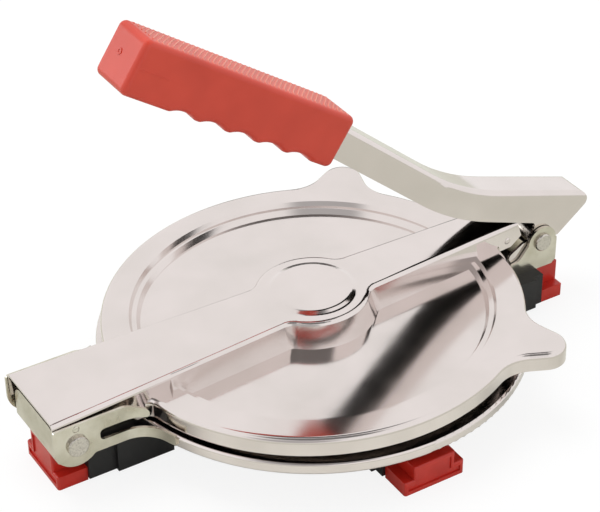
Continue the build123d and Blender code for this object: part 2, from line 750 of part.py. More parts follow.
lobe_low_z = hinge_z - lid_lobe_r
hollow_end_x = arm_end_x - lid_sheet
rim_block = build_rim(0, lid_skirt_z, arm_end_x)
rim_hollow = build_rim(lid_sheet, lobe_low_z - lid_sheet, hollow_end_x)
rib_block = build_rib(0, arm_end_x)
rib_hollow = build_rib(lid_sheet, hollow_end_x)

# Eyes of the lid flanges round the hinge pin, before they are hollowed with the lid.
with BuildPart() as lid_eyes:
    with BuildSketch(floor.offset(lobe_low_z)):
        Polygon(*strip_at(arm_end_x, arm_flange_root_x, 0), align=None)
    extrude(amount=arm_flange_z + lid_sheet - lobe_low_z)
    with BuildSketch(side):
        with Locations((hinge_x, hinge_z)):
            Circle(lid_lobe_r)
            Rectangle(2 * lid_lobe_r, lid_r, align=(Align.CENTER, Align.MIN))
    extrude(amount=span, both=True, mode=Mode.INTERSECT)

# Lid cover: one pressed sheet with skirt, recess, rib, hinge arm and tongue.
with BuildPart() as lid_cover:
    add(rim_block.part)
    add(rib_block.part)
    with BuildSketch(side):
        with BuildLine():
            Polyline(
                (arm_flange_root_x, 0),
                (arm_flange_root_x, lid_skirt_z),
                (arm_flange_hook_x, arm_flange_z),
                (arm_end_x - span, arm_flange_z),
                (arm_end_x - span, 0),
                close=True,
            )
        make_face()
        with BuildLine():
            Polyline(
                (tongue_notch_x, 0),
                (tongue_notch_x, tongue_low_z),
                (tongue_low_x, tongue_low_z),
                (tongue_nose_x, tongue_nose_z),
                (tongue_nose_x + span, tongue_nose_z),
                (tongue_nose_x + span, 0),
                close=True,
            )
        make_face()
    extrude(amount=2 * rib_half, both=True, mode=Mode.SUBTRACT)
    add(lid_eyes.part)
    add(rim_hollow.part, mode=Mode.SUBTRACT)
    add(rib_hollow.part, mode=Mode.SUBTRACT)
    with BuildSketch(side):
        with Locations((hinge_x, hinge_z)):
            Circle(hinge_pin_r + run_fit)
    extrude(amount=span, both=True, mode=Mode.SUBTRACT)

# Lid press plate: flat disc under the recess floor.
with BuildPart() as lid_press_plate:
    with BuildSketch(floor.offset(lid_press_z)):
        Circle(press_r)
    extrude(amount=press_sheet)

# Lever channel: flat over the tongue, then rising into the grip.
lever_side = Plane(
    origin=(plate_x + lever_x, 0, lever_z), x_dir=(1, 0, 0), z_dir=(0, -1, 0)
)
up_flat = Vector(0, 1)
up_rise = Vector(math.sin(math.radians(lever_rise)), math.cos(math.radians(lever_rise)))
up_grip = Vector(math.sin(math.radians(grip_rise)), math.cos(math.radians(grip_rise)))
along_grip = Vector(-up_grip.Y, up_grip.X)
kink_up = (up_flat + up_rise) * (1 / (1 + up_flat.dot(up_rise)))
bend_up = (up_rise + up_grip) * (1 / (1 + up_rise.dot(up_grip)))
kink_low = Vector(lever_kink_x, lever_low)
bend_rise = (lever_kink_x - lever_grip_x) * math.tan(math.radians(lever_rise))
bend_low = Vector(lever_grip_x, lever_low + bend_rise)
tang_low = bend_low + along_grip * lever_tang
kink_top = kink_low + kink_up * lever_depth
bend_top = bend_low + bend_up * lever_depth
tang_top = tang_low + up_grip * lever_depth
rear_top = Vector(lever_rear_top_x, lever_rear_top_z)
rear_low = Vector(lever_rear_low_x, lever_rear_low_z)
rear_down = (rear_low - rear_top).normalized()
top_back = (kink_top - rear_top).normalized()
rear_in = (rear_down + top_back).normalized()
rear_half_angle = math.acos(rear_in.dot(rear_down))
rear_under = rear_top + rear_in * (lever_sheet / math.sin(rear_half_angle))
round_top = rear_top + top_back * (lever_rear_r / math.tan(rear_half_angle))
round_low = rear_top + rear_down * (lever_rear_r / math.tan(rear_half_angle))
under = lever_depth - lever_sheet
kink_under = kink_low + kink_up * under
with BuildPart() as lever_channel:
    with BuildSketch(lever_side) as outline:
        with BuildLine():
            Polyline(
                rear_low,
                rear_top,
                kink_top,
                bend_top,
                tang_top,
                tang_low,
                bend_low,
                kink_low,
                (mouth_x, lever_low),
                (mouth_x, 0),
                (jaw_root_x, jaw_root_z),
                (jaw_tip_x, jaw_tip_z),
                (jaw_low_x, jaw_low_z),
                (jaw_heel_x, jaw_heel_z),
                (0, 0),
                close=True,
            )
        make_face()
        Circle(lever_hub_r)
        rounded(outline, [
            (kink_top.X, kink_top.Y, lever_bend_r - lever_depth),
            (kink_low.X, kink_low.Y, lever_bend_r),
            (mouth_x, lever_low, mouth_r),
            (jaw_tip_x, jaw_tip_z, jaw_r),
            (jaw_low_x, jaw_low_z, jaw_r),
        ])
    extrude(amount=lever_half, both=True)
    web_faces = lever_channel.faces().filter_by(
        lambda f: f.normal_at(f.center()).Z > lever_web_up and f.center().Z > lever_z + lever_hub_r
    )
    web_edges = web_faces.edges().filter_by(lambda e: abs(abs(e.center().Y) - lever_half) < pick_reach)
    fillet(web_edges, lever_edge_r)
    with BuildSketch(lever_side):
        with BuildLine():
            Polyline(
                round_top,
                round_top - rear_down * lever_rear_r,
                rear_top - rear_in * lever_rear_r,
                round_low - top_back * lever_rear_r,
                round_low,
            )
            TangentArc(round_top, round_low, tangent=-top_back)
        make_face()
    extrude(amount=lever_half, both=True, mode=Mode.SUBTRACT)
    with BuildSketch(lever_side) as inside:
        with BuildLine():
            Polyline(
                rear_under,
                kink_under,
                bend_low + bend_up * under,
                tang_low + up_grip * under + along_grip * lever_sheet,
                tang_low - up_grip * lever_sheet + along_grip * lever_sheet,
                bend_low - bend_up * lever_depth,
                (jaw_tip_x - lever_depth, jaw_low_z - lever_sheet),
                rear_under + rear_down * (rear_under.Y - jaw_low_z),
                close=True,
            )
        make_face()
        rounded(inside, [
            (rear_under.X, rear_under.Y, lever_rear_r - lever_sheet),
            (kink_under.X, kink_under.Y, lever_bend_r - under),
        ])
    extrude(amount=lever_half - lever_sheet, both=True, mode=Mode.SUBTRACT)
    with BuildSketch(lever_side):
        Circle(lever_pin_r + run_fit)
    extrude(amount=lever_half, both=True, mode=Mode.SUBTRACT)

# Grip: rounded bar with finger scallops below and a pocket for the channel end.
grip_start = bend_low + up_grip * (lever_depth / 2 + grip_sink)
grip_side = Plane(
    origin=(plate_x + lever_x + grip_start.X, 0, lever_z + grip_start.Y),
    x_dir=(along_grip.X, 0, along_grip.Y),
    z_dir=(0, 1, 0),
)
scallop_r = (scallop_chord ** 2 / 4 + scallop_depth ** 2) / (2 * scallop_depth)
scallop_drop = -grip_half_height - scallop_r + scallop_depth
pocket_low = -grip_sink - lever_depth / 2 - grip_fit
with BuildPart() as grip:
    with BuildSketch(grip_side) as outline:
        Rectangle(grip_length, 2 * grip_half_height, align=(Align.MIN, Align.CENTER))
        fillet(outline.vertices(), grip_corner_r)
        with Locations(*[(scallop_first + k * scallop_pitch, scallop_drop) for k in range(scallop_count)]):
            Circle(scallop_r, mode=Mode.SUBTRACT)
        low_points = outline.vertices().filter_by(lambda v: abs(v.Y + grip_half_height) < pick_reach)
        inner_half = grip_length / 2 - grip_corner_r - pick_reach
        cusps = low_points.filter_by(lambda v: abs(v.X - grip_length / 2) < inner_half)
        fillet(cusps, scallop_blend_r)
    extrude(amount=grip_half_width, both=True)
    side_edges = grip.edges().filter_by(lambda e: abs(abs(e.center().Y) - grip_half_width) < pick_reach)
    fillet(side_edges, grip_edge_r)
    with BuildSketch(grip_side):
        with Locations((0, pocket_low)):
            Rectangle(lever_tang + grip_fit, lever_depth + 2 * grip_fit, align=(Align.MIN, Align.MIN))
    extrude(amount=lever_half + grip_fit, both=True, mode=Mode.SUBTRACT)

# Turn lid and lever from the shut pose to the rest pose.
lid_cover.part = lid_cover.part.rotate(hinge_axis, lid_rest_angle)
lid_press_plate.part = lid_press_plate.part.rotate(hinge_axis, lid_rest_angle)
lever_channel.part = lever_channel.part.rotate(lever_axis, lever_rest_angle)
grip.part = grip.part.rotate(lever_axis, lever_rest_angle)

os.makedirs("parts", exist_ok=True)
base_pan.part.label = "base_pan"
export_step(base_pan.part, "parts/base_pan.step")
base_press_plate.part.label = "base_press_plate"
export_step(base_press_plate.part, "parts/base_press_plate.step")
hinge_bracket.part.label = "hinge_bracket"
export_step(hinge_bracket.part, "parts/hinge_bracket.step")
lever_bracket.part.label = "lever_bracket"
export_step(lever_bracket.part, "parts/lever_bracket.step")
leg_frame.part.label = "leg_frame"
export_step(leg_frame.part, "parts/leg_frame.step")
foot_hinge_end.part.label = "foot_hinge_end"
export_step(foot_hinge_end.part, "parts/foot_hinge_end.step")
foot_lever_end.part.label = "foot_lever_end"
export_step(foot_lever_end.part, "parts/foot_lever_end.step")
foot_front.part.label = "foot_front"
export_step(foot_front.part, "parts/foot_front.step")
foot_rear.part.label = "foot_rear"
export_step(foot_rear.part, "parts/foot_rear.step")
foot_screws.part.label = "foot_screws"
export_step(foot_screws.part, "parts/foot_screws.step")
hinge_bracket_rivets.part.label = "hinge_bracket_rivets"
export_step(hinge_bracket_rivets.part, "parts/hinge_bracket_rivets.step")
lever_bracket_rivets.part.label = "lever_bracket_rivets"
export_step(lever_bracket_rivets.part, "parts/lever_bracket_rivets.step")
leg_rivets.part.label = "leg_rivets"
export_step(leg_rivets.part, "parts/leg_rivets.step")
hinge_pin.part.label = "hinge_pin"
export_step(hinge_pin.part, "parts/hinge_pin.step")
hinge_spacer.part.label = "hinge_spacer"
export_step(hinge_spacer.part, "parts/hinge_spacer.step")
lever_pin.part.label = "lever_pin"
export_step(lever_pin.part, "parts/lever_pin.step")
lever_spacer.part.label = "lever_spacer"
export_step(lever_spacer.part, "parts/lever_spacer.step")
lid_cover.part.label = "lid_cover"
export_step(lid_cover.part, "parts/lid_cover.step")
lid_press_plate.part.label = "lid_press_plate"
export_step(lid_press_plate.part, "parts/lid_press_plate.step")
lever_channel.part.label = "lever_channel"
export_step(lever_channel.part, "parts/lever_channel.step")
grip.part.label = "grip"
export_step(grip.part, "parts/grip.step")
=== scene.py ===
import math

import bpy
from mathutils import Euler, Matrix, Vector


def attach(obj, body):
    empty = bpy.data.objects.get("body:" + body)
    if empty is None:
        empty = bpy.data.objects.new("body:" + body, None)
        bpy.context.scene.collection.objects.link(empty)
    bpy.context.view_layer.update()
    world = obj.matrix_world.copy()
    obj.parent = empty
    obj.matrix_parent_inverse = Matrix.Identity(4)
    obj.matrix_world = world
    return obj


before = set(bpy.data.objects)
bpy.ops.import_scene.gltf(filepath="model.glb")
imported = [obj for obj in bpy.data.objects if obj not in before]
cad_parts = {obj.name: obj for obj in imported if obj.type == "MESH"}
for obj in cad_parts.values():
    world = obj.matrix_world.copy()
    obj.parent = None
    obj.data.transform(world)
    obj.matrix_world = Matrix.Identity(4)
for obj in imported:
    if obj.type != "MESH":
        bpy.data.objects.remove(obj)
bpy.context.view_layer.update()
print("frame loaded with", len(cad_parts), "nodes")

mm = 0.001  # all lengths below are millimetres times this
white = (1.0, 1.0, 1.0, 1.0)


def hexToLinear(text):
    steps = [int(text[i:i + 2], 16) / 255 for i in (0, 2, 4)]
    return [s / 12.92 if s <= 0.04045 else ((s + 0.055) / 1.055) ** 2.4 for s in steps] + [1.0]


def addNode(tree, kind, settings=None, links=None):
    # settings go to sockets by name or to the node's own properties, links feed sockets by name or number
    node = tree.nodes.new(kind)
    for name, value in (settings or {}).items():
        if isinstance(name, int) or name in node.inputs:
            node.inputs[name].default_value = value
        else:
            setattr(node, name, value)
    for name, source in (links or {}).items():
        tree.links.new(source, node.inputs[name])
    return node


def startMaterial(name):
    material = bpy.data.materials.new(name)
    material.use_nodes = True
    tree = material.node_tree
    tree.nodes.clear()
    place = addNode(tree, "ShaderNodeTexCoord").outputs["Object"]
    return material, tree, place


def finishMaterial(tree, shader):
    addNode(tree, "ShaderNodeOutputMaterial", links={"Surface": shader})


def rampBetween(tree, source, stops, colours):
    ramp = addNode(tree, "ShaderNodeValToRGB", links={"Fac": source})
    for mark, stop, colour in zip(ramp.color_ramp.elements, stops, colours):
        mark.position = stop
        mark.color = hexToLinear(colour)
    return ramp.outputs["Color"]


def noise(tree, place, size, detail):
    # soft noise with patches about as large as size
    pattern = addNode(tree, "ShaderNodeTexNoise", {"Scale": 1 / size, "Detail": detail}, {"Vector": place})
    return pattern.outputs["Fac"]


def lineNoise(tree, place, sizes):
    # noise drawn out into lines, with one size for each axis
    stretch = addNode(tree, "ShaderNodeMapping", {"Scale": [1 / size for size in sizes]}, {"Vector": place})
    return noise(tree, stretch.outputs["Vector"], 1.0, 2.0)


def bump(tree, height, distance, links=None):
    raised = addNode(tree, "ShaderNodeBump", {"Distance": distance}, {"Height": height, **(links or {})})
    return raised.outputs["Normal"]


def spread(tree, source, low, high, fromLow=0.3, fromHigh=0.7):
    # stretches a noise value to the range low to high
    return addNode(tree, "ShaderNodeMapRange", {
        "From Min": fromLow, "From Max": fromHigh, "To Min": low, "To Max": high},
        {"Value": source}).outputs["Result"]


# Stainless sheet, pressed and polished: soft-edged reflections that bend a little with the pressing,
# a faint haze where hands have been and fine wiping lines.
polished = {
    "colour": "E4DBD8",
    "hazeColour": "DCD4D0",
    "roughLow": 0.09,
    "roughHigh": 0.17,
    "hazeSize": 28 * mm,
    "rippleSize": 36 * mm,
    "rippleDepth": 0.03 * mm,
    "lineSize": 0.5 * mm,
    "lineLength": 14 * mm,
    "lineDepth": 0.0006 * mm,
    "stops": (0.35, 0.75),
    "roughStops": (0.3, 0.8),
}


def polishedSurface(tree, place, spec):
    haze = noise(tree, place, spec["hazeSize"], 3.0)
    colour = rampBetween(tree, haze, spec["stops"], (spec["colour"], spec["hazeColour"]))
    rough = spread(tree, haze, spec["roughLow"], spec["roughHigh"], *spec["roughStops"])
    bend = bump(tree, noise(tree, place, spec["rippleSize"], 0.0), spec["rippleDepth"])
    lines = lineNoise(tree, place, (spec["lineLength"], spec["lineSize"], spec["lineLength"]))
    fine = bump(tree, lines, spec["lineDepth"], {"Normal": bend})
    return addNode(tree, "ShaderNodeBsdfPrincipled", {"Metallic": 1.0}, {
        "Base Color": colour, "Roughness": rough, "Normal": fine}).outputs["BSDF"]


def polishedStainless(name, spec):
    material, tree, place = startMaterial(name)
    finishMaterial(tree, polishedSurface(tree, place, spec))
    return material


# The same sheet on the brackets, handled and never buffed again: yellower, blotchy and less sharp.
dulled = {
    "colour": "DAD5C8",
    "hazeColour": "C2BCAA",
    "roughLow": 0.16,
    "roughHigh": 0.3,
    "hazeSize": 9 * mm,
    "rippleSize": 20 * mm,
    "rippleDepth": 0.02 * mm,
    "lineSize": 0.5 * mm,
    "lineLength": 8 * mm,
    "lineDepth": 0.0008 * mm,
    "stops": (0.35, 0.75),
    "roughStops": (0.3, 0.8),
}

# The lever is polished outside only. Inside the channel and on faces that look down it keeps the rougher
# finish of its rolling scale, and its dark grey there is painted shade.
leverInsideShade = {
    "colour": "4A4642",
    "patchColour": "33302D",
    "patchSize": 7 * mm,
    "roughLow": 0.5,
    "roughHigh": 0.7,
    "stops": (0.35, 0.65),
    "webDown": -0.35,  # faces that look down by this much or more are the inside of the web
    "wallIn": -3 * mm,  # distance from the middle times the sideways part of the normal, inside walls
}


def leverStainless(name, spec, scale):
    material, tree, place = startMaterial(name)
    outside = polishedSurface(tree, place, spec)
    # painted shade: the dark grey inside the channel and on faces that look down stands in for the shade
    # there
    patch = noise(tree, place, scale["patchSize"], 3.0)
    colour = rampBetween(tree, patch, scale["stops"], (scale["patchColour"], scale["colour"]))
    rough = spread(tree, patch, scale["roughLow"], scale["roughHigh"])
    inside = addNode(tree, "ShaderNodeBsdfPrincipled", {"Metallic": 1.0}, {
        "Base Color": colour, "Roughness": rough}).outputs["BSDF"]
    facing = addNode(tree, "ShaderNodeTexCoord").outputs["Normal"]
    normal = addNode(tree, "ShaderNodeSeparateXYZ", links={"Vector": facing})
    spot = addNode(tree, "ShaderNodeSeparateXYZ", links={"Vector": place})
    sideways = addNode(tree, "ShaderNodeMath", {"operation": "MULTIPLY"}, {
        0: spot.outputs["Y"], 1: normal.outputs["Y"]}).outputs["Value"]
    isWall = addNode(tree, "ShaderNodeMath", {"operation": "LESS_THAN", 1: scale["wallIn"]}, {0: sideways})
    isWeb = addNode(tree, "ShaderNodeMath", {"operation": "LESS_THAN", 1: scale["webDown"]}, {
        0: normal.outputs["Z"]})
    either = addNode(tree, "ShaderNodeMath", {"operation": "MAXIMUM"}, {
        0: isWall.outputs["Value"], 1: isWeb.outputs["Value"]})
    both = addNode(tree, "ShaderNodeMixShader", links={0: either.outputs["Value"], 1: outside, 2: inside})
    finishMaterial(tree, both.outputs["Shader"])
    return material


# Stainless sheet as rolled: bright, with fine lines along the rolling direction.
rolled = {
    "colour": "D3CEC8",
    "lineColour": "C5BFB8",
    "lineSpacing": 0.8 * mm,  # real lines are about 0.05 mm apart, drawn coarser so that they show
    "lineLength": 30 * mm,
    "roughLow": 0.12,
    "roughHigh": 0.22,
    "stops": (0.3, 0.65),
}


def rolledStainless(name, spec):
    material, tree, place = startMaterial(name)
    lines = lineNoise(tree, place, (spec["lineLength"], spec["lineSpacing"], spec["lineSpacing"]))
    colour = rampBetween(tree, lines, spec["stops"], (spec["lineColour"], spec["colour"]))
    rough = spread(tree, lines, spec["roughLow"], spec["roughHigh"])
    shader = addNode(tree, "ShaderNodeBsdfPrincipled", {"Metallic": 1.0}, {
        "Base Color": colour, "Roughness": rough})
    finishMaterial(tree, shader.outputs["BSDF"])
    return material


# Nickel plated steel, cold headed: bright but softer than the sheet, with a fine tumbled grain.
plated = {
    "colour": "D2CCC4",
    "pitColour": "A8A29B",
    "grain": 0.7 * mm,
    "roughLow": 0.14,
    "roughHigh": 0.28,
    "stops": (0.3, 0.55),
}


def platedSteel(name, spec):
    material, tree, place = startMaterial(name)
    grain = noise(tree, place, spec["grain"], 4.0)
    colour = rampBetween(tree, grain, spec["stops"], (spec["pitColour"], spec["colour"]))
    rough = spread(tree, grain, spec["roughLow"], spec["roughHigh"])
    shader = addNode(tree, "ShaderNodeBsdfPrincipled", {"Metallic": 1.0}, {
        "Base Color": colour, "Roughness": rough})
    finishMaterial(tree, shader.outputs["BSDF"])
    return material


# Polypropylene, injection moulded: even colour with slight flow clouding and a soft satin skin.
grippy = {
    "colour": "D23F2A",
    "cloudColour": "C83823",
    "cloudSize": 18 * mm,
    "skin": 0.35 * mm,
    "skinDepth": 0.012 * mm,
    "rough": 0.42,
    "gloss": 0.2,  # thin shiny skin over the satin
}
# The same on the rib crests, painted paler as a highlight where the crests catch the light.
ribPaintedHighlight = {
    "colour": "E3715C",
    "cloudColour": "DB6752",
    "cloudSize": 18 * mm,
    "skin": 0.35 * mm,
    "skinDepth": 0.012 * mm,
    "rough": 0.42,
    "gloss": 0.35,
}
# The same on the feet, smoother and a deeper red.
footRed = {
    "colour": "C42A1E",
    "cloudColour": "B62318",
    "cloudSize": 9 * mm,
    "skin": 0.3 * mm,
    "skinDepth": 0.008 * mm,
    "rough": 0.3,
    "gloss": 0.0,
}
# The same plastic in black for the legs, with a spark-eroded grain from the mould.
legBlack = {
    "colour": "1B1A1C",
    "cloudColour": "151416",
    "cloudSize": 12 * mm,
    "skin": 0.55 * mm,
    "skinDepth": 0.05 * mm,
    "rough": 0.5,
    "gloss": 0.0,
}


# What all the polypropylene shares.
plasticBody = {
    "ior": 1.49,
    "glossRough": 0.25,
    "stops": (0.35, 0.65),
}


def mouldedPolypropylene(name, spec):
    material, tree, place = startMaterial(name)
    cloud = noise(tree, place, spec["cloudSize"], 2.0)
    colour = rampBetween(tree, cloud, plasticBody["stops"], (spec["cloudColour"], spec["colour"]))
    skin = bump(tree, noise(tree, place, spec["skin"], 2.0), spec["skinDepth"])
    shader = addNode(tree, "ShaderNodeBsdfPrincipled", {
        "Roughness": spec["rough"],
        "IOR": plasticBody["ior"],
        "Coat Weight": spec["gloss"],
        "Coat Roughness": plasticBody["glossRough"],
    }, {"Base Color": colour, "Normal": skin})
    finishMaterial(tree, shader.outputs["BSDF"])
    return material


polishedSheet = polishedStainless("stainlessPressedPolished", polished)
bracketSheet = polishedStainless("stainlessPressedDulled", dulled)
leverSheet = leverStainless("stainlessPolishedOutsidePaintedShadeInside", polished, leverInsideShade)
rolledSheet = rolledStainless("stainlessBrightRolled", rolled)
pinSteel = platedSteel("steelNickelPlated", plated)
redGrip = mouldedPolypropylene("polypropyleneRedMouldedGrip", grippy)
redRibPaintedHighlight = mouldedPolypropylene("polypropyleneRedMouldedPaintedHighlight", ribPaintedHighlight)
redFoot = mouldedPolypropylene("polypropyleneRedMouldedFoot", footRed)
blackLeg = mouldedPolypropylene("polypropyleneBlackMoulded", legBlack)
finishes = {
    "lid_cover": polishedSheet,
    "lever_channel": leverSheet,
    "base_pan": polishedSheet,
    "hinge_bracket": bracketSheet,
    "lever_bracket": bracketSheet,
    "base_press_plate": rolledSheet,
    "lid_press_plate": rolledSheet,
    "leg_frame": blackLeg,
    "grip": redGrip,
    "foot_front": redFoot,
    "foot_rear": redFoot,
    "foot_hinge_end": redFoot,
    "foot_lever_end": redFoot,
}
for nodeName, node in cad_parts.items():
    node.data.materials.clear()
    node.data.materials.append(finishes.get(nodeName, pinSteel))
print("finishes set on", len(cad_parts), "nodes")


def deselectAll():
    if bpy.context.mode != "OBJECT":
        bpy.ops.object.mode_set(mode="OBJECT")
    bpy.ops.object.select_all(action="DESELECT")


def editStart():
    bpy.ops.object.mode_set(mode="EDIT")
    bpy.ops.mesh.select_all(action="SELECT")


def editEnd():
    bpy.ops.object.mode_set(mode="OBJECT")


def faceOutward():
    bpy.ops.mesh.select_all(action="SELECT")
    bpy.ops.mesh.normals_make_consistent(inside=False)


def pull(x, y, z):
    bpy.ops.mesh.extrude_region_move(TRANSFORM_OT_translate={"value": (x, y, z)})


def bakePlace():
    bpy.ops.object.transform_apply(location=True, rotation=True, scale=True)


def finishPiece(piece, name, finish, body):
    piece.name = name
    piece.data.materials.append(finish)
    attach(piece, body)


def applyModifiers(piece):
    for modifier in list(piece.modifiers):
        bpy.ops.object.modifier_apply(modifier=modifier.name)


# The grip's own frame: x runs from the lever end to the free end, z is up out of its top.
gripFrame = {
    "start": (4.588 * mm, 0.0, 112.651 * mm),
    "rise": math.radians(34.2),
    "length": 106.5 * mm,
    "halfWidth": 11.0 * mm,
    "halfHeight": 11.25 * mm,
    "edgeRadius": 2.4 * mm,
}


def placeOnGrip(piece):
    along = Vector((-math.cos(gripFrame["rise"]), 0, math.sin(gripFrame["rise"])))
    up = Vector((math.sin(gripFrame["rise"]), 0, math.cos(gripFrame["rise"])))
    across = up.cross(along)
    turn = Matrix((along, across, up)).transposed().to_4x4()
    piece.matrix_world = Matrix.Translation(Vector(gripFrame["start"])) @ turn
    bakePlace()


# Fine slanting ribs over the top of the grip, each one a low round hoop that sinks into both long edges.
ribs = {
    "count": 48,
    "pitch": 2.41 * mm,
    "first": 4.5 * mm,
    "start": 3.5 * mm,
    "end": 102.0 * mm,
    "lean": 0.85,  # shift along the grip for each unit across it
    "radius": 0.6 * mm,
    "proud": 0.32 * mm,
    "tuck": 0.7 * mm,  # how far the bends sit inside the grip's own round edges
    "lap": 0.5 * mm,  # straight end inside each side
    "sides": 16,
    "turnSteps": 5,
    "mergeGap": 0.001 * mm,
    "smooth": math.radians(40),
}


def quarterTurn(y, z):
    bpy.ops.mesh.spin(steps=ribs["turnSteps"], angle=-math.pi / 2, center=(0, y, z), axis=(1, 0, 0))


def buildGripRibs():
    deselectAll()
    bendZ = gripFrame["halfHeight"] - gripFrame["edgeRadius"]
    bendY = gripFrame["halfWidth"] - gripFrame["edgeRadius"] - ribs["tuck"]
    middle = bendY + gripFrame["edgeRadius"] + ribs["proud"] - ribs["radius"]
    bpy.ops.mesh.primitive_circle_add(
        vertices=ribs["sides"], radius=ribs["radius"], fill_type="NGON",
        location=(ribs["first"], middle, bendZ - ribs["lap"]))
    piece = bpy.context.object
    bakePlace()
    editStart()
    pull(0, 0, ribs["lap"])
    quarterTurn(bendY, bendZ)
    pull(-2 * bendY * ribs["lean"], -2 * bendY, 0)
    quarterTurn(-bendY, bendZ)
    pull(0, 0, -ribs["lap"])
    bpy.ops.mesh.select_all(action="SELECT")
    bpy.ops.mesh.remove_doubles(threshold=ribs["mergeGap"])
    bpy.ops.mesh.select_all(action="DESELECT")
    bpy.ops.mesh.select_non_manifold()  # the open ends
    bpy.ops.mesh.edge_face_add()
    faceOutward()
    editEnd()
    row = piece.modifiers.new("row", "ARRAY")
    row.count = ribs["count"]
    row.use_relative_offset = False
    row.use_constant_offset = True
    row.constant_offset_displace = (ribs["pitch"], 0, 0)
    applyModifiers(piece)
    editStart()
    for cut, way in ((ribs["start"], -1), (ribs["end"], 1)):
        bpy.ops.mesh.select_all(action="SELECT")
        bpy.ops.mesh.bisect(plane_co=(cut, 0, 0), plane_no=(way, 0, 0), use_fill=True, clear_outer=True)
    editEnd()
    bpy.ops.object.shade_smooth_by_angle(angle=ribs["smooth"])
    placeOnGrip(piece)
    # the ribs carry the paler red, a painted highlight on the crests
    finishPiece(piece, "gripRibs", redRibPaintedHighlight, "lever")
    print("grip ribs:", len(piece.data.polygons), "faces")


buildGripRibs()

# Mark of the mould's gate on the free end of the grip: a low ring with a sunk middle.
gateMark = {
    "outer": 1.3 * mm,
    "inner": 0.65 * mm,
    "rise": 0.25 * mm,
    "sunk": 0.2 * mm,
    "across": -1.8 * mm,
    "up": 1.1 * mm,
    "sides": 24,
    "smooth": math.radians(30),
}


def buildGateMark():
    deselectAll()
    bpy.ops.mesh.primitive_circle_add(
        vertices=gateMark["sides"], radius=gateMark["outer"], fill_type="NGON")
    piece = bpy.context.object
    editStart()
    pull(0, 0, gateMark["rise"])
    bpy.ops.mesh.inset(thickness=gateMark["outer"] - gateMark["inner"])
    pull(0, 0, -gateMark["sunk"])
    faceOutward()
    editEnd()
    piece.rotation_euler = (0, math.pi / 2, 0)
    piece.location = (gripFrame["length"], gateMark["across"], gateMark["up"])
    bakePlace()
    bpy.ops.object.shade_smooth_by_angle(angle=gateMark["smooth"])
    placeOnGrip(piece)
    finishPiece(piece, "gripGateMark", redGrip, "lever")
    print("gate mark on the grip")


buildGateMark()

# Faint line where the two halves of the mould met, left on both sides near the free end.
seam = {
    "start": 89 * mm,
    "end": 103.5 * mm,
    "width": 0.35 * mm,
    "proud": 0.09 * mm,
    "taper": 0.1 * mm,
}


def buildSeam(name, side):
    deselectAll()
    length = seam["end"] - seam["start"]
    bpy.ops.mesh.primitive_plane_add(size=1.0)
    piece = bpy.context.object
    piece.scale = (length, seam["width"], 1.0)
    bakePlace()
    editStart()
    pull(0, 0, seam["proud"])
    bpy.ops.mesh.inset(thickness=seam["taper"])
    faceOutward()
    editEnd()
    piece.rotation_euler = (-side * math.pi / 2, 0, 0)
    piece.location = (seam["start"] + length / 2, side * gripFrame["halfWidth"], 0)
    bakePlace()
    placeOnGrip(piece)
    finishPiece(piece, name, redGrip, "lever")


buildSeam("gripSeamNear", 1)
buildSeam("gripSeamFar", -1)
print("mould seams on the grip")

# Small low pips in the sheet, on both sides of the hinge bracket and of the tongue.
pips = {
    "radius": 1.5 * mm,
    "rise": 0.55 * mm,
    "segments": 24,
    "rings": 12,
    "smooth": math.radians(40),
    "spots": {
        "hingePip": {
            "place": (-123.3 * mm, 21.6 * mm, 33.4 * mm),
            "body": "base",
            "slot": "sheet_steel",
            "finish": bracketSheet,
        },
        "tonguePip": {
            "place": (89.6 * mm, 9.3 * mm, 36.1 * mm),
            "body": "lid",
            "slot": "polished_steel",
            "finish": polishedSheet,
        },
    },
}


def buildPip(name, spec, side):
    deselectAll()
    bpy.ops.mesh.primitive_uv_sphere_add(
        segments=pips["segments"], ring_count=pips["rings"], radius=pips["radius"])
    piece = bpy.context.object
    editStart()
    bpy.ops.mesh.bisect(plane_co=(0, 0, 0), plane_no=(0, 0, 1), use_fill=True, clear_inner=True)
    faceOutward()
    editEnd()
    piece.scale = (1.0, 1.0, pips["rise"] / pips["radius"])
    piece.rotation_euler = (-side * math.pi / 2, 0, 0)
    x, y, z = spec["place"]
    piece.location = (x, side * y, z)
    bakePlace()
    bpy.ops.object.shade_smooth_by_angle(angle=pips["smooth"])
    finishPiece(piece, name, spec["finish"], spec["body"])


for pipName, pipSpec in pips["spots"].items():
    buildPip(pipName + "Near", pipSpec, -1)
    buildPip(pipName + "Far", pipSpec, 1)
print("pips built")

# Pale matt paper as the floor, painted lighter close to the press, a white tent over it and two lamps.
stageSpec = {
    "floorSide": 1.6,
    "floorPaintedLightNear": "F0F2EA",  # painted light: paler close to the press, as the metal and the plastic see it
    "floorFar": "D2D3C9",
    "nearReach": 110 * mm,
    "farReach": 155 * mm,
    "lightPoolEdgeNoiseSize": 40 * mm,
    "lightPoolEdgeShift": 12 * mm,  # how far noise shifts the edge of the painted light near the press
    "whiteShare": 0.86,  # how far the camera sees it as plain white, the rest takes shadows
    "tentLevel": 1.0,
}
# Dark areas of the tent that only reflections see, with angles in degrees from each aim.
darkPatches = {
    # thin lines on the bends
    "roofGap": {"aim": (0.137, 0.219, 0.966), "edge": 16.0, "full": 10.0, "level": 0.12},
    # lines on the front folds
    "frontGap": {"aim": (-0.21, -0.34, 0.917), "edge": 24.0, "full": 17.0, "level": 0.22},
    # line round the raised disc
    "backGap": {"aim": (0.505, 0.855, 0.1), "edge": 11.0, "full": 6.0, "level": 0.05},
    # keeps white haze off the corners that face the camera
    "cameraGap": {"aim": (-0.62, -0.68, 0.38), "edge": 26.0, "full": 14.0, "level": 0.5},
}
lamps = {
    "backLamp": {"place": (-0.1, 0.6, 1.59), "side": 0.9, "power": 11.0, "inMetal": False},
    "leftLamp": {"place": (-0.95, 1.2, 0.4), "side": 0.6, "power": 2.0, "inMetal": True},
}


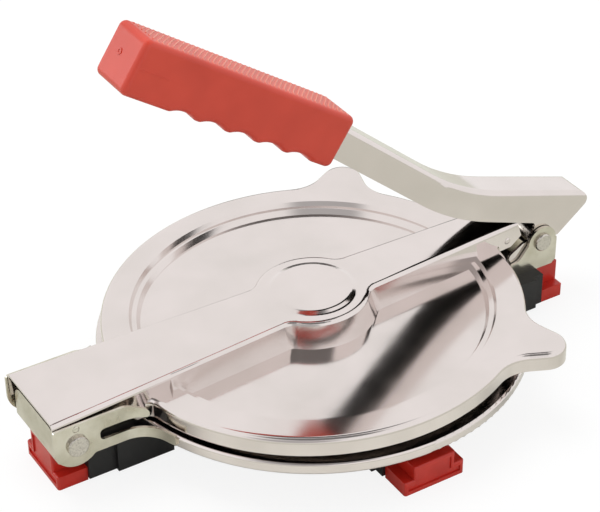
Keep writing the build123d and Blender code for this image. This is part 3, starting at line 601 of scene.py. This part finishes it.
def floorPaper():
    paint, tree, place = startMaterial("paperPaleMatt")
    cloud = noise(tree, place, stageSpec["lightPoolEdgeNoiseSize"], 2.0)
    shift = spread(tree, cloud, -stageSpec["lightPoolEdgeShift"], stageSpec["lightPoolEdgeShift"])
    reach = addNode(tree, "ShaderNodeVectorMath", {"operation": "LENGTH"}, {0: place}).outputs["Value"]
    moved = addNode(tree, "ShaderNodeMath", {"operation": "ADD"}, {0: reach, 1: shift}).outputs["Value"]
    away = spread(tree, moved, 0.0, 1.0, stageSpec["nearReach"], stageSpec["farReach"])
    # painted light: the floor is paler close to the press and greyer further out, as the metal and the
    # plastic see it
    colour = rampBetween(tree, away, (0.0, 1.0), (stageSpec["floorPaintedLightNear"], stageSpec["floorFar"]))
    matt = addNode(tree, "ShaderNodeBsdfDiffuse", links={"Color": colour}).outputs["BSDF"]
    glow = addNode(tree, "ShaderNodeEmission", {"Color": white}).outputs["Emission"]
    pale = addNode(tree, "ShaderNodeBsdfDiffuse", {"Color": white}).outputs["BSDF"]
    seen = addNode(tree, "ShaderNodeMixShader", {0: stageSpec["whiteShare"]}, {1: pale, 2: glow})
    toCamera = addNode(tree, "ShaderNodeLightPath").outputs["Is Camera Ray"]
    shader = addNode(tree, "ShaderNodeMixShader", links={0: toCamera, 1: matt, 2: seen.outputs["Shader"]})
    finishMaterial(tree, shader.outputs["Shader"])
    return paint


def tentWorld():
    world = bpy.data.worlds.new("tent")
    world.use_nodes = True
    tree = world.node_tree
    tree.nodes.clear()
    direction = addNode(tree, "ShaderNodeTexCoord").outputs["Generated"]
    strength = None
    for spec in darkPatches.values():
        aim = Vector(spec["aim"]).normalized()
        near = addNode(tree, "ShaderNodeVectorMath", {"operation": "DOT_PRODUCT", 1: aim}, {0: direction})
        level = addNode(tree, "ShaderNodeMapRange", {
            "interpolation_type": "SMOOTHSTEP",
            "From Min": math.cos(math.radians(spec["edge"])),
            "From Max": math.cos(math.radians(spec["full"])),
            "To Min": stageSpec["tentLevel"],
            "To Max": spec["level"],
        }, {"Value": near.outputs["Value"]})
        if strength is None:
            strength = level.outputs["Result"]
        else:
            strength = addNode(tree, "ShaderNodeMath", {"operation": "MINIMUM"}, {
                0: strength, 1: level.outputs["Result"]}).outputs["Value"]
    tent = addNode(tree, "ShaderNodeBackground", {"Color": white}, {"Strength": strength})
    plain = addNode(tree, "ShaderNodeBackground", {"Color": white})
    toCamera = addNode(tree, "ShaderNodeLightPath").outputs["Is Camera Ray"]
    both = addNode(tree, "ShaderNodeMixShader", links={
        0: toCamera, 1: tent.outputs["Background"], 2: plain.outputs["Background"]})
    addNode(tree, "ShaderNodeOutputWorld", links={"Surface": both.outputs["Shader"]})
    return world


def buildStage():
    deselectAll()
    bpy.ops.mesh.primitive_plane_add(size=stageSpec["floorSide"])
    floor = bpy.context.object
    floor.name = "floor"
    floor.data.materials.append(floorPaper())
    bpy.context.scene.world = tentWorld()
    for name, spec in lamps.items():
        bpy.ops.object.light_add(type="AREA", location=spec["place"])
        lamp = bpy.context.object
        lamp.name = name
        lamp.rotation_euler = Vector(spec["place"]).to_track_quat("Z", "Y").to_euler()
        lamp.data.size = spec["side"]
        lamp.data.energy = spec["power"]
        lamp.visible_glossy = spec["inMetal"]  # a lamp left out of the reflections leaves no burnt spot
    print("stage built with", len(lamps), "lamps")


buildStage()

# Fitted to the photo.
cameraSpec = {
    "place": (-351.7 * mm, -559.9 * mm, 503.8 * mm),
    "turn": math.radians(-31.44),
    "height": math.radians(34.12),
    "roll": math.radians(-0.64),
    "lens": 117.27,
    "sensor": 36.0,
    "clipStart": 10 * mm,
}


def buildCamera():
    deselectAll()
    bpy.ops.object.camera_add(location=cameraSpec["place"])
    camera = bpy.context.object
    camera.name = "camera"
    aim = Euler((math.pi / 2 - cameraSpec["height"], 0, cameraSpec["turn"])).to_matrix()
    camera.rotation_euler = (aim @ Matrix.Rotation(cameraSpec["roll"], 3, "Z")).to_euler()
    camera.data.lens = cameraSpec["lens"]
    camera.data.sensor_width = cameraSpec["sensor"]
    camera.data.clip_start = cameraSpec["clipStart"]
    bpy.context.scene.camera = camera


buildCamera()
bpy.context.scene.view_settings.view_transform = "Standard"
